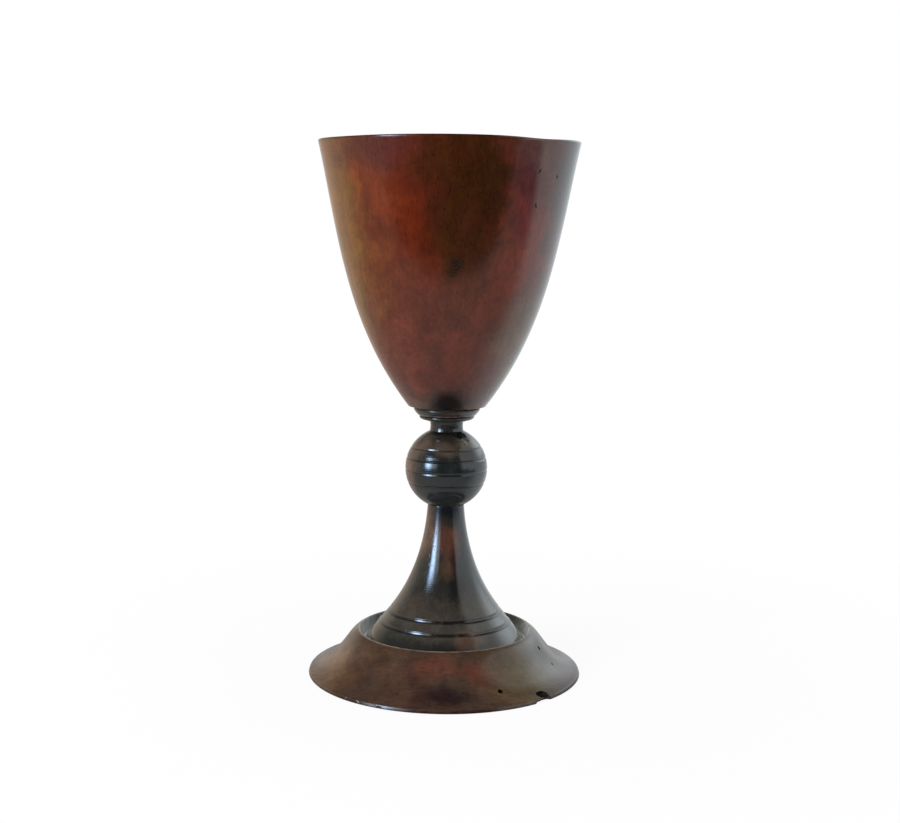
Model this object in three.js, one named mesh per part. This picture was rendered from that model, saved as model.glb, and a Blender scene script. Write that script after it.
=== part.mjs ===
// Wooden goblet of five lathe-turned pieces: foot, trumpet stem, ball knop, collar and bowl.
// Sizes are in millimetres and angles in degrees. The turning axis is Z, the foot stands on Z = 0.
import * as THREE from 'three';

// Foot: a dished disc, thin at its edge, with a raised crest round the recess for the stem.
const FOOT_RADIUS = 49.4;
const FOOT_EDGE = 0.7;
const FOOT_EDGE_CHAMFER = 0.25;
const FOOT_STANDING_RING = 9;
const FOOT_HOLLOW_DEPTH = 2.2;
const FOOT_FLOOR_WALL = 4.25;
const FOOT_CREST_ROUND = 0.7;
const FOOT_CREST_SLOPE = 20;
const FOOT_CREST_PULL_SHARE = 0.275;
const FOOT_EDGE_SLOPE = 14;
const FOOT_EDGE_PULL_SHARE = 0.604;
const RECESS_DEPTH = 4.1;
const RECESS_CLEARANCE = 0.7;
const RECESS_WALL_LEAN = 0.9;

// Trumpet stem: slender at the top, flared below, with incised lines near its lower edge.
const STEM_HEIGHT = 49.9;
const STEM_TOP_RADIUS = 6.55;
const STEM_TOP_SLOPE = 86.3;
const STEM_TOP_PULL_SHARE = 0.687;
const STEM_BOTTOM_RADIUS = 28.9;
const STEM_BOTTOM_SLOPE = 74.5;
const STEM_BOTTOM_PULL_SHARE = 0.122;
const STEM_GROOVE_COUNT = 2;
const STEM_GROOVE_WIDTH = 1.1;
const STEM_GROOVE_DEPTH = 0.5;
const STEM_TOP_GROOVE_HEIGHT = 11.1;
const STEM_GROOVE_SPACING = 3.8;

// Ball knop: a true ball with turned lines that spread a little towards the bottom.
const KNOP_RADIUS = 14.76;
const KNOP_GROOVE_COUNT = 4;
const KNOP_GROOVE_WIDTH = 1;
const KNOP_GROOVE_DEPTH = 0.45;
const KNOP_TOP_GROOVE_LATITUDE = 31.4;
const KNOP_GROOVE_SPACING = 16;
const KNOP_GROOVE_SPREAD = 1.3;

// Collar: a plain neck under two rings, each ring bevelled inwards on its underside.
const NECK_RADIUS = 6.04;
const NECK_HEIGHT = 3.6;
const LOWER_RING_RADIUS = 9.9;
const LOWER_RING_HEIGHT = 2;
const LOWER_RING_BEVEL = 2.9;
const UPPER_RING_RADIUS = 11.9;
const UPPER_RING_HEIGHT = 2.8;
const UPPER_RING_BEVEL = 1.9;
const RING_EDGE = 0.6;
const RING_QUIRK = 0.5;
const RING_BEVEL_START = 25;
const RING_BEVEL_END = 75;
const RING_BEVEL_PULL_SHARE = 0.4;

// Bowl: an open cup with a thin lip, drawn in to a small seat on the collar.
const BOWL_HEIGHT = 93;
const BOWL_RIM_RADIUS = 46.05;
const BOWL_RIM_SLOPE = 76.5;
const BOWL_RIM_PULL_SHARE = 0.315;
const BOWL_HEEL_WIDTH = 2.5;
const BOWL_HEEL_RISE = 0.6;
const BOWL_HEEL_SLOPE = 52.4;
const BOWL_HEEL_PULL_SHARE = 0.409;
const BOWL_LIP_WALL = 2.2;
const BOWL_LIP_ROUND = 0.5;
const BOWL_BELLY_WALL = 4.6;
const BOWL_FLOOR_WALL = 4;
const BOWL_FLOOR_ROUND = 24;

// Glued joints: the stem's upper tenon runs through the bored knop into the collar.
const JOINT_CLEARANCE = 0.15;
const FOOT_TENON_RADIUS = 9;
const FOOT_TENON_LENGTH = 5.4;
const KNOP_TENON_SHOULDER = 2.1;
const COLLAR_SOCKET_DEPTH = 5;
const BOWL_TENON_RADIUS = 6;
const BOWL_TENON_LENGTH = 9;

// How finely the round shapes are divided.
const LARGE_TURNS = 48;
const SMALL_TURNS = 40;
const COLLAR_TURNS = 36;
const SWEEP_STEPS = 14;
const INSIDE_STEPS = 16;
const BALL_STEPS = 16;
const HOLLOW_STEPS = 5;
const ROUND_STEPS = 3;

// Heights, each piece standing on the one below it.
const recessFloorZ = FOOT_HOLLOW_DEPTH + FOOT_FLOOR_WALL + JOINT_CLEARANCE + FOOT_TENON_LENGTH;
const crestZ = recessFloorZ + RECESS_DEPTH;
const stemTopZ = recessFloorZ + STEM_HEIGHT;
const knopCentreZ = stemTopZ + Math.sqrt(KNOP_RADIUS ** 2 - STEM_TOP_RADIUS ** 2);
const knopTopZ = knopCentreZ + Math.sqrt(KNOP_RADIUS ** 2 - NECK_RADIUS ** 2);
const neckTopZ = knopTopZ + NECK_HEIGHT;
const lowerRingTopZ = neckTopZ + LOWER_RING_HEIGHT;
const collarTopZ = lowerRingTopZ + UPPER_RING_HEIGHT;
const rimZ = collarTopZ + BOWL_HEIGHT;

// Radii that two pieces share.
const recessRadius = STEM_BOTTOM_RADIUS + RECESS_CLEARANCE;
const crestRadius = recessRadius + RECESS_WALL_LEAN + FOOT_CREST_ROUND;
const knopTenonRadius = Math.min(NECK_RADIUS, STEM_TOP_RADIUS) - KNOP_TENON_SHOULDER;
const knopBoreRadius = knopTenonRadius + JOINT_CLEARANCE;
const bowlSeatRadius = UPPER_RING_RADIUS - RING_QUIRK;

const point = (radius, height) => new THREE.Vector2(radius, height);
const radians = (degrees) => degrees * Math.PI / 180;

// Points on an arc about a centre, from one angle to another, counted from the outward direction.
function arc(centre, radius, fromAngle, toAngle, steps) {
  const points = [];
  for (let i = 0; i <= steps; i += 1) {
    const angle = radians(fromAngle + (toAngle - fromAngle) * i / steps);
    points.push(point(centre.x + radius * Math.cos(angle), centre.y + radius * Math.sin(angle)));
  }
  return points;
}

// A curve that leaves its start and reaches its end along given directions.
function sweep(start, startAngle, startPull, end, endAngle, endPull) {
  const leave = point(Math.cos(radians(startAngle)), Math.sin(radians(startAngle)));
  const arrive = point(Math.cos(radians(endAngle)), Math.sin(radians(endAngle)));
  const startHandle = start.clone().addScaledVector(leave, startPull);
  const endHandle = end.clone().addScaledVector(arrive, -endPull);
  return new THREE.CubicBezierCurve(start, startHandle, endHandle, end);
}

// Parameter at which a curve that rises throughout passes a height, found by halving.
function parameterAtHeight(curve, height) {
  const halvings = 40;
  let low = 0;
  let high = 1;
  for (let i = 0; i < halvings; i += 1) {
    const middle = (low + high) / 2;
    if (curve.getPoint(middle).y < height) {
      low = middle;
    } else {
      high = middle;
    }
  }
  return low;
}

// Walks up a surface in even steps and sinks a V-shaped line into it at each groove.
function groovedWalk(surfaceAt, from, to, steps, grooves) {
  const clearOf = (groove) => (station) => Math.abs(station.at - groove.at) > groove.reach;
  let stations = [];
  for (let i = 0; i <= steps; i += 1) {
    stations.push({ at: from + (to - from) * i / steps, sink: 0 });
  }
  for (const groove of grooves) {
    stations = stations.filter(clearOf(groove));
    stations.push({ at: groove.at - groove.reach, sink: 0 });
    stations.push({ at: groove.at, sink: groove.depth });
    stations.push({ at: groove.at + groove.reach, sink: 0 });
  }
  stations.sort((a, b) => a.at - b.at);
  return stations.map((station) => surfaceAt(station.at, station.sink));
}

// Turns a profile, listed up the outside, into a solid of revolution.
function turn(name, profile, turns, color, roughness) {
  const geometry = new THREE.LatheGeometry(profile, turns);
  geometry.rotateX(Math.PI / 2);
  const material = new THREE.MeshStandardMaterial({ color, roughness, metalness: 0 });
  const mesh = new THREE.Mesh(geometry, material);
  mesh.name = name;
  return mesh;
}

// Foot: hollowed underside, standing ring, thin edge, ogee flare, crest, recess and socket.
function footProfile() {
  const hollowRadius = FOOT_RADIUS - FOOT_EDGE_CHAMFER - FOOT_STANDING_RING;
  const sphereRadius = (hollowRadius ** 2 + FOOT_HOLLOW_DEPTH ** 2) / (2 * FOOT_HOLLOW_DEPTH);
  const hollow = [point(0, FOOT_HOLLOW_DEPTH)];
  for (let i = 1; i <= HOLLOW_STEPS; i += 1) {
    const radius = hollowRadius * i / HOLLOW_STEPS;
    const drop = sphereRadius - Math.sqrt(sphereRadius ** 2 - radius ** 2);
    hollow.push(point(radius, FOOT_HOLLOW_DEPTH - drop));
  }
  hollow[HOLLOW_STEPS].y = 0;
  const crestCentre = point(crestRadius, crestZ - FOOT_CREST_ROUND);
  const crest = arc(crestCentre, FOOT_CREST_ROUND, 90 - FOOT_CREST_SLOPE, 180, ROUND_STEPS);
  const edgeTop = point(FOOT_RADIUS, FOOT_EDGE);
  const flareWidth = FOOT_RADIUS - crestRadius;
  const flare = sweep(
    edgeTop, 180 - FOOT_EDGE_SLOPE, FOOT_EDGE_PULL_SHARE * flareWidth,
    crest[0], 180 - FOOT_CREST_SLOPE, FOOT_CREST_PULL_SHARE * flareWidth,
  );
  const socketRadius = FOOT_TENON_RADIUS + JOINT_CLEARANCE;
  const socketFloorZ = FOOT_HOLLOW_DEPTH + FOOT_FLOOR_WALL;
  return [
    ...hollow,
    point(FOOT_RADIUS - FOOT_EDGE_CHAMFER, 0),
    point(FOOT_RADIUS, FOOT_EDGE_CHAMFER),
    ...flare.getPoints(SWEEP_STEPS),
    ...crest.slice(1),
    point(recessRadius, recessFloorZ),
    point(socketRadius, recessFloorZ),
    point(socketRadius, socketFloorZ),
    point(0, socketFloorZ),
  ];
}

// Stem: tenon for the foot, broad seat, grooved trumpet, shoulder and long tenon through the knop.
function stemProfile() {
  const trumpet = sweep(
    point(STEM_BOTTOM_RADIUS, recessFloorZ), 180 - STEM_BOTTOM_SLOPE, STEM_BOTTOM_PULL_SHARE * STEM_HEIGHT,
    point(STEM_TOP_RADIUS, stemTopZ), 180 - STEM_TOP_SLOPE, STEM_TOP_PULL_SHARE * STEM_HEIGHT,
  );
  const surfaceAt = (parameter, sink) => {
    const tangent = trumpet.getTangent(parameter);
    return trumpet.getPoint(parameter).add(point(-tangent.y, tangent.x).multiplyScalar(sink));
  };
  const grooves = [];
  for (let i = 0; i < STEM_GROOVE_COUNT; i += 1) {
    const centreZ = recessFloorZ + STEM_TOP_GROOVE_HEIGHT - i * STEM_GROOVE_SPACING;
    const at = parameterAtHeight(trumpet, centreZ);
    const slope = trumpet.getTangent(at).y;
    const upperEdge = parameterAtHeight(trumpet, centreZ + slope * STEM_GROOVE_WIDTH / 2);
    grooves.push({ at, reach: upperEdge - at, depth: STEM_GROOVE_DEPTH });
  }
  const tenonTopZ = knopTopZ + COLLAR_SOCKET_DEPTH;
  return [
    point(0, recessFloorZ - FOOT_TENON_LENGTH),
    point(FOOT_TENON_RADIUS, recessFloorZ - FOOT_TENON_LENGTH),
    point(FOOT_TENON_RADIUS, recessFloorZ),
    ...groovedWalk(surfaceAt, 0, 1, SWEEP_STEPS, grooves),
    point(knopTenonRadius, stemTopZ),
    point(knopTenonRadius, tenonTopZ),
    point(0, tenonTopZ),
  ];
}

// Knop: grooved ball between the flats where stem and collar bear on it, bored right through.
function knopProfile() {
  const surfaceAt = (latitude, sink) => {
    const radius = KNOP_RADIUS - sink;
    return point(radius * Math.cos(latitude), knopCentreZ + radius * Math.sin(latitude));
  };
  const grooves = [];
  let latitude = KNOP_TOP_GROOVE_LATITUDE;
  for (let i = 0; i < KNOP_GROOVE_COUNT; i += 1) {
    const reach = KNOP_GROOVE_WIDTH / 2 / KNOP_RADIUS;
    grooves.push({ at: radians(latitude), reach, depth: KNOP_GROOVE_DEPTH });
    latitude -= KNOP_GROOVE_SPACING + i * KNOP_GROOVE_SPREAD;
  }
  const lowest = -Math.acos(STEM_TOP_RADIUS / KNOP_RADIUS);
  const highest = Math.acos(NECK_RADIUS / KNOP_RADIUS);
  return [
    point(knopBoreRadius, stemTopZ),
    ...groovedWalk(surfaceAt, lowest, highest, BALL_STEPS, grooves),
    point(knopBoreRadius, knopTopZ),
    point(knopBoreRadius, stemTopZ),
  ];
}

// One ring of the collar, from its tucked-in underside to its upper edge.
function ringProfile(bottomZ, topZ, radius, bevel) {
  const pull = RING_BEVEL_PULL_SHARE * bevel;
  const underside = sweep(
    point(radius - bevel, bottomZ), RING_BEVEL_START, pull,
    point(radius, topZ - RING_EDGE), RING_BEVEL_END, pull,
  );
  return [
    ...underside.getPoints(ROUND_STEPS),
    point(radius - RING_QUIRK, topZ),
  ];
}

// Collar: socket for the stem's tenon, neck, two rings and tenon for the bowl.
function collarProfile() {
  const socketTopZ = knopTopZ + COLLAR_SOCKET_DEPTH + JOINT_CLEARANCE;
  return [
    point(0, socketTopZ),
    point(knopBoreRadius, socketTopZ),
    point(knopBoreRadius, knopTopZ),
    point(NECK_RADIUS, knopTopZ),
    point(NECK_RADIUS, neckTopZ),
    ...ringProfile(neckTopZ, lowerRingTopZ, LOWER_RING_RADIUS, LOWER_RING_BEVEL),
    ...ringProfile(lowerRingTopZ, collarTopZ, UPPER_RING_RADIUS, UPPER_RING_BEVEL),
    point(BOWL_TENON_RADIUS, collarTopZ),
    point(BOWL_TENON_RADIUS, collarTopZ + BOWL_TENON_LENGTH),
    point(0, collarTopZ + BOWL_TENON_LENGTH),
  ];
}

// Inside of the bowl from the lip down: the outside less the wall, closed by a rounded floor.
function bowlInside(outside, lipZ, floorZ) {
  const points = [];
  const floorParameter = parameterAtHeight(outside, floorZ);
  for (let i = 1; i < INSIDE_STEPS; i += 1) {
    const descent = Math.sin(i / INSIDE_STEPS * Math.PI / 2);
    const outer = outside.getPoint(1 - descent * (1 - floorParameter));
    const depthShare = (lipZ - outer.y) / (lipZ - floorZ);
    const wall = BOWL_LIP_WALL + (BOWL_BELLY_WALL - BOWL_LIP_WALL) * depthShare;
    const sunk = Math.max(0, 1 - (outer.y - floorZ) / BOWL_FLOOR_ROUND);
    points.push(point((outer.x - wall) * Math.sqrt(1 - sunk ** 2), outer.y));
  }
  points.push(point(0, floorZ));
  return points;
}

// Bowl: socket, seat, heel, outer sweep, softened lip and hollowed inside.
function bowlProfile() {
  const socketRadius = BOWL_TENON_RADIUS + JOINT_CLEARANCE;
  const socketTopZ = collarTopZ + BOWL_TENON_LENGTH + JOINT_CLEARANCE;
  const lipZ = rimZ - BOWL_LIP_ROUND;
  const outside = sweep(
    point(bowlSeatRadius + BOWL_HEEL_WIDTH, collarTopZ + BOWL_HEEL_RISE),
    BOWL_HEEL_SLOPE, BOWL_HEEL_PULL_SHARE * BOWL_HEIGHT,
    point(BOWL_RIM_RADIUS, lipZ), BOWL_RIM_SLOPE, BOWL_RIM_PULL_SHARE * BOWL_HEIGHT,
  );
  const lipOuter = point(BOWL_RIM_RADIUS - BOWL_LIP_ROUND, lipZ);
  const lipInner = point(BOWL_RIM_RADIUS - BOWL_LIP_WALL + BOWL_LIP_ROUND, lipZ);
  return [
    point(0, socketTopZ),
    point(socketRadius, socketTopZ),
    point(socketRadius, collarTopZ),
    point(bowlSeatRadius, collarTopZ),
    ...outside.getPoints(SWEEP_STEPS),
    ...arc(lipOuter, BOWL_LIP_ROUND, 0, 90, ROUND_STEPS).slice(1),
    ...arc(lipInner, BOWL_LIP_ROUND, 90, 180, ROUND_STEPS),
    ...bowlInside(outside, lipZ, socketTopZ + BOWL_FLOOR_WALL),
  ];
}

const goblet = new THREE.Group();
goblet.name = 'wooden_goblet';
goblet.add(turn('foot', footProfile(), LARGE_TURNS, 0x5d4331, 0.32));
goblet.add(turn('trumpet_stem', stemProfile(), SMALL_TURNS, 0x2c211d, 0.24));
goblet.add(turn('ball_knop', knopProfile(), SMALL_TURNS, 0x2a2320, 0.26));
goblet.add(turn('collar', collarProfile(), COLLAR_TURNS, 0x241d1c, 0.24));
goblet.add(turn('bowl', bowlProfile(), LARGE_TURNS, 0x55392a, 0.28));

export default goblet;
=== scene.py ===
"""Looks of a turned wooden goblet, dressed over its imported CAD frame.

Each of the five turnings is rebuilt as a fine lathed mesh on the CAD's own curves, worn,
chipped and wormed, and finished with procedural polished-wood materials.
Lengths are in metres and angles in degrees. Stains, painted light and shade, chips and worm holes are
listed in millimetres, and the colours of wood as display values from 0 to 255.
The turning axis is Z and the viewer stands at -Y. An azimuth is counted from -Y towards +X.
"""
import math
from collections import namedtuple

import bmesh
import bpy
import numpy as np
from mathutils import Matrix, Vector, noise


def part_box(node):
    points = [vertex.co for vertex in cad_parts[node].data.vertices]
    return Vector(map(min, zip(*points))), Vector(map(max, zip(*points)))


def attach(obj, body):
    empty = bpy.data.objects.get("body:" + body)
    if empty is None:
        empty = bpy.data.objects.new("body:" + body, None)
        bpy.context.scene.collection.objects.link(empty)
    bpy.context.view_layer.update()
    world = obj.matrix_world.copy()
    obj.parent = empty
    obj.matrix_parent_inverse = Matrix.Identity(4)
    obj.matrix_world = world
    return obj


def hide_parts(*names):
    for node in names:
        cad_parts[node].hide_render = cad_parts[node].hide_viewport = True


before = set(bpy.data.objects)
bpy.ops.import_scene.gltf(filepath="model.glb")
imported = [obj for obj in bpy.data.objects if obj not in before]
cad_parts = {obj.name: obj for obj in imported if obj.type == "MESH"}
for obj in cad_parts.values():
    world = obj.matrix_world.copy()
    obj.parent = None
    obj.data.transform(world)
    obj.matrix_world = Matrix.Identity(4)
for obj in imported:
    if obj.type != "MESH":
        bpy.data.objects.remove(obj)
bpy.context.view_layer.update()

MM = 0.001

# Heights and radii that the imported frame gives.
FOOT_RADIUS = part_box("foot")[1].x
CREST_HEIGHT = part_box("foot")[1].z
STEM_TENON_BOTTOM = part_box("trumpet_stem")[0].z
STEM_TENON_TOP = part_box("trumpet_stem")[1].z
STEM_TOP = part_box("ball_knop")[0].z
KNOP_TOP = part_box("ball_knop")[1].z
COLLAR_TENON_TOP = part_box("collar")[1].z
COLLAR_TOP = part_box("bowl")[0].z
RIM_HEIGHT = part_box("bowl")[1].z
RIM_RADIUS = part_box("bowl")[1].x

# Foot.
FOOT_EDGE_BAND = 0.85 * MM
FOOT_EDGE_LEAN = 18
FOOT_EDGE_ROUND = 0.5 * MM
FOOT_EDGE_CHAMFER = 0.25 * MM
FOOT_STANDING_RING = 9 * MM
FOOT_HOLLOW_DEPTH = 2.2 * MM
FOOT_CREST_ROUND = 0.45 * MM
FOOT_CREST_SLOPE = 20
FOOT_CREST_PULL_SHARE = 0.275
FOOT_EDGE_SLOPE = 14
FOOT_EDGE_PULL_SHARE = 0.604
RECESS_DEPTH = 4.1 * MM
RECESS_CLEARANCE = 0.7 * MM
RECESS_WALL_LEAN = 1.15 * MM
HOLLOW_LINE_SHARES = (0.45, 0.8)
HOLLOW_LINE_WIDTH = 0.9 * MM
HOLLOW_LINE_DEPTH = 0.3 * MM

# Trumpet stem.
STEM_TOP_RADIUS = 6.55 * MM
STEM_TOP_SLOPE = 86.3
STEM_TOP_PULL_SHARE = 0.687
STEM_BOTTOM_RADIUS = 28.9 * MM
STEM_BOTTOM_SLOPE = 74.5
STEM_BOTTOM_PULL_SHARE = 0.122
STEM_GROOVE_HEIGHTS = (11.1 * MM, 7.3 * MM)
STEM_GROOVE_WIDTH = 1.7 * MM
STEM_GROOVE_DEPTH = 0.4 * MM

# Ball knop.
KNOP_RADIUS = 14.76 * MM
KNOP_GROOVE_LATITUDES = (31.4, 15.4, -1.9, -20.5)
KNOP_GROOVE_WIDTH = 1.0 * MM
KNOP_GROOVE_DEPTH = 0.17 * MM

# Collar.
NECK_RADIUS = 6.04 * MM
NECK_HEIGHT = 3.6 * MM
NECK_HOLLOW = 0.2 * MM
LOWER_RING_RADIUS = 9.9 * MM
LOWER_RING_HEIGHT = 2.0 * MM
LOWER_RING_BEVEL = 2.9 * MM
UPPER_RING_RADIUS = 11.9 * MM
UPPER_RING_BEVEL = 1.9 * MM
RING_EDGE = 0.6 * MM
RING_QUIRK = 0.5 * MM
RING_BEVEL_START = 32
RING_BEVEL_END = 64
RING_BEVEL_PULL_SHARE = 0.4

# Bowl.
BOWL_RIM_SLOPE = 76.5
BOWL_RIM_PULL_SHARE = 0.315
BOWL_HEEL_WIDTH = 2.5 * MM
BOWL_HEEL_RISE = 0.6 * MM
BOWL_HEEL_SLOPE = 52.4
BOWL_HEEL_PULL_SHARE = 0.409
BOWL_LIP_WALL = 2.2 * MM
BOWL_LIP_ROUND = 0.45 * MM
BOWL_BELLY_WALL = 4.6 * MM
BOWL_FLOOR_WALL = 4.0 * MM
BOWL_FLOOR_ROUND = 24 * MM

# Glued tenons.
JOINT_CLEARANCE = 0.15 * MM
FOOT_TENON_RADIUS = 9 * MM
KNOP_TENON_SHOULDER = 2.1 * MM
BOWL_TENON_RADIUS = 6 * MM

# Radii and heights that follow from them.
RECESS_FLOOR = CREST_HEIGHT - RECESS_DEPTH
RECESS_RADIUS = STEM_BOTTOM_RADIUS + RECESS_CLEARANCE
CREST_RADIUS = RECESS_RADIUS + RECESS_WALL_LEAN + FOOT_CREST_ROUND
STEM_HEIGHT = STEM_TOP - RECESS_FLOOR
KNOP_CENTRE = STEM_TOP + math.sqrt(KNOP_RADIUS ** 2 - STEM_TOP_RADIUS ** 2)
KNOP_TENON_RADIUS = NECK_RADIUS - KNOP_TENON_SHOULDER
KNOP_BORE_RADIUS = KNOP_TENON_RADIUS + JOINT_CLEARANCE
BOWL_SEAT_RADIUS = UPPER_RING_RADIUS - RING_QUIRK
BOWL_HEIGHT = RIM_HEIGHT - COLLAR_TOP

# Section of a turned line: its burr lies beyond its half width and is a share of its depth.
LINE_STATIONS = 17
LINE_ROUNDNESS = 0.8
BURR_PLACE = 1.25
BURR_SPREAD = 0.22
BURR_SHARE = 0.07

# How finely the meshes are divided.
LARGE_TURNS = 288
SMALL_TURNS = 192
PROFILE_STEP = 0.8 * MM
FINE_STEP = 0.35 * MM
LEAST_STEPS = 4
CURVE_TO_CHORD = 1.1
ARC_STEPS = 6
BALL_STEPS = 96
NECK_POINTS = 13
FOOT_HOLLOW_POINTS = 48
BOWL_HOLLOW_POINTS = 120
SAME_POINT = 1e-7
SHARP_ANGLE = 40

# Sanded corners.
EASED_ARRIS = 0.14 * MM
EASE_ANGLE = 24
EASE_LIMIT_SHARE = 0.45
EASE_POINTS = 5

# Shrinkage across the grain makes old turnings slightly oval, and hand polishing leaves them uneven.
OVAL_SHARE = 0.0012
UNEVEN_DEPTH = 0.05 * MM
UNEVEN_SIZE = 16 * MM
UNEVEN_FULL_RADIUS = 10 * MM
LEAST_RADIUS = 1 * MM

# The bowl's lip has risen at both sides and is worn lower at one place in front.
LIP_RISE = 0.85 * MM
LIP_RISE_POWER = 8
LIP_WEAR = 0.4 * MM
LIP_WEAR_AZIMUTH = 42
LIP_WEAR_SPREAD = 14
LIP_WARP_REACH = 30 * MM

# Ragged lumps that cut scars, and the tilt of the surfaces that they cut.
LUMP_DIVISIONS = 3
RAGGED = 0.35
RAGGED_SCALE = 1.9
SEED_STEP = 3.7
BOWL_TILT = -16
FLARE_TILT = 58
EDGE_TILT = 0
SHOULDER_TILT = 45

# The photograph's viewpoint.
CAMERA_PLACE = (0.0, -0.4932, 0.1549)
CAMERA_PITCH = -6.874
CAMERA_YAW = -0.130
CAMERA_ROLL = 0.642
CAMERA_LENS = 55.34
CAMERA_CLIP = 0.01
SENSOR_WIDTH = 36.0

# Tones of the studio.
WHITE = (1.0, 1.0, 1.0, 1.0)
AMBIENT = (0.3, 0.3, 0.3, 1.0)
LEFT_WALL = (0.4, 0.34, 0.275, 1.0)
BACK_LEFT_WALL = (0.68, 0.58, 0.48, 1.0)
NEAR_TABLE = (0.355, 0.335, 0.335, 1.0)
SHADED_TABLE = (0.15, 0.12, 0.26, 1.0)
RIGHT_WALL = (0.88, 0.96, 1.0, 1.0)
DIM_CEILING = (0.08, 0.08, 0.08, 1.0)
RIGHT_CEILING = (0.75, 0.76, 0.74, 1.0)
DARK_ROOM = (0.014, 0.015, 0.019, 1.0)

# Where one tone of the room goes over into the next, in parts of a unit direction.
LEFT_TO_BACK = (0.1, 0.7)
LEFT_TO_RIGHT = (-0.5, 0.2)
CEILING_TO_RIGHT = (0.48, 0.6)
WALL_TO_CEILING = (0.15, 0.6)
DARK_TO_SIDES = (-0.5, -0.3)
DARK_TO_FRONT_RIGHT = (-0.1, 0.05)
LOW_TO_FRONT_RIGHT = (-0.1, 0.1)

# Table, and where one of its tones goes over into the next.
TABLE_OUTLINE = ((-1.5, -0.42), (-0.2, -0.262), (0.2, -0.262), (1.5, -0.42), (1.5, 1.5), (-1.5, 1.5))
FLOOR_PAINT = (0.9, 0.9, 0.9, 1.0)
FLOOR_GLOW_NEAR = 0.9
FLOOR_NEAR, FLOOR_FAR = 0.05, 0.3
TABLE_LEFT_TO_NEAR = (-0.5, 0.0)
TABLE_TO_BACK = (-0.05, 0.5)
TABLE_TO_SHADE = (0.38, 0.58)
TABLE_TO_RIGHT = (0.02, 0.12)
TABLE_TO_BEHIND = (-0.1, 0.03)

# Lamps. Window and curtain make gloss only, key and ceiling make none.
Lamp = namedtuple(
    "Lamp", "name place size radiance colour diffuse gloss fade", defaults=(WHITE[:3], True, True, 0.0),
)
LAMPS = (
    Lamp("window", (-0.686, -0.536, 0.3), (0.42, 0.62), 17.0, (0.47, 0.68, 1.0), diffuse=False, fade=0.85),
    Lamp("curtain", (-0.511, -0.704, 0.3), (0.44, 0.6), 1.7, (0.8, 0.9, 1.0), diffuse=False, fade=0.85),
    Lamp("key", (-0.62, -0.61, 0.4), (0.5, 0.5), 7.0, gloss=False),
    Lamp("side_panel", (0.72, 0.68, 0.5), (1.4, 0.8), 1.05, (0.82, 0.93, 1.0), fade=0.85),
    Lamp("ceiling", (0.0, 0.1, 1.2), (1.2, 1.2), 1.2, gloss=False),
)
GOBLET_MIDDLE = (0.0, 0.0, 0.09)
WATTS_PER_RADIANCE = 4
LAMP_HALF = 0.5


def put_in_scene(name, data):
    """A new object in the scene for a mesh, lamp or camera."""
    thing = bpy.data.objects.new(name, data)
    bpy.context.scene.collection.objects.link(thing)
    return thing


def polar(azimuth, radius, height):
    """Point at an azimuth, a distance from the axis and a height."""
    angle = math.radians(azimuth)
    return Vector((radius * math.sin(angle), -radius * math.cos(angle), height))


def heading(angle):
    """Unit step of a profile at an angle from level."""
    return np.array((math.cos(math.radians(angle)), math.sin(math.radians(angle))))


def sweep(start, start_angle, start_pull, end, end_angle, end_pull, step=PROFILE_STEP):
    """Points along a curve that leaves its start and reaches its end along given directions."""
    start, end = np.array(start), np.array(end)
    handles = (start, start + heading(start_angle) * start_pull, end - heading(end_angle) * end_pull, end)
    count = max(LEAST_STEPS, int(np.linalg.norm(end - start) * CURVE_TO_CHORD / step))
    share = np.linspace(0, 1, count + 1)[:, None]
    rest = 1 - share
    weights = (rest ** 3, 3 * rest ** 2 * share, 3 * rest * share ** 2, share ** 3)
    return sum(weight * handle for weight, handle in zip(weights, handles))


def arc(centre, radius, from_angle, to_angle, steps=ARC_STEPS):
    """Points on an arc about a centre."""
    angles = np.radians(np.linspace(from_angle, to_angle, steps + 1))
    return np.stack((centre[0] + radius * np.cos(angles), centre[1] + radius * np.sin(angles)), 1)


def lengths_along(curve):
    """Distance of each point of a curve from its start, along the curve."""
    return np.concatenate(([0], np.cumsum(np.linalg.norm(np.diff(curve, axis=0), axis=1))))


def length_at(curve, height):
    """Distance along a curve at which it passes a height."""
    order = np.argsort(curve[:, 1])
    return float(np.interp(height, curve[order, 1], lengths_along(curve)[order]))


def line_depth(stations, centre, width, depth):
    """Depth of a round-bottomed line at stations along a curve, with a slight burr on both lips."""
    across = np.abs(stations - centre) / (width / 2)
    cut = np.clip(1 - across, 0, 1) ** LINE_ROUNDNESS * depth
    burr = np.exp(-((across - BURR_PLACE) / BURR_SPREAD) ** 2) * depth * BURR_SHARE
    return cut - burr


def incise(curve, centres, width, depth):
    """Sinks a turned line into a curve at each centre."""
    lengths = lengths_along(curve)
    stations = list(lengths)
    for centre in centres:
        stations = [s for s in stations if abs(s - centre) > width]
        stations += list(centre + np.linspace(-width, width, LINE_STATIONS))
    stations = np.array(sorted(stations))
    points = np.stack([np.interp(stations, lengths, curve[:, k]) for k in (0, 1)], 1)
    tangents = np.gradient(points, stations, axis=0)
    tangents /= np.linalg.norm(tangents, axis=1)[:, None]
    inward = np.stack((-tangents[:, 1], tangents[:, 0]), 1)
    sink = sum(line_depth(stations, centre, width, depth) for centre in centres)
    return points + inward * sink[:, None]


def profile_radius(outline, height):
    """Radius of a rising outline at a height."""
    order = np.argsort(outline[:, 1])
    return float(np.interp(height, outline[order, 1], outline[order, 0]))


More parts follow.
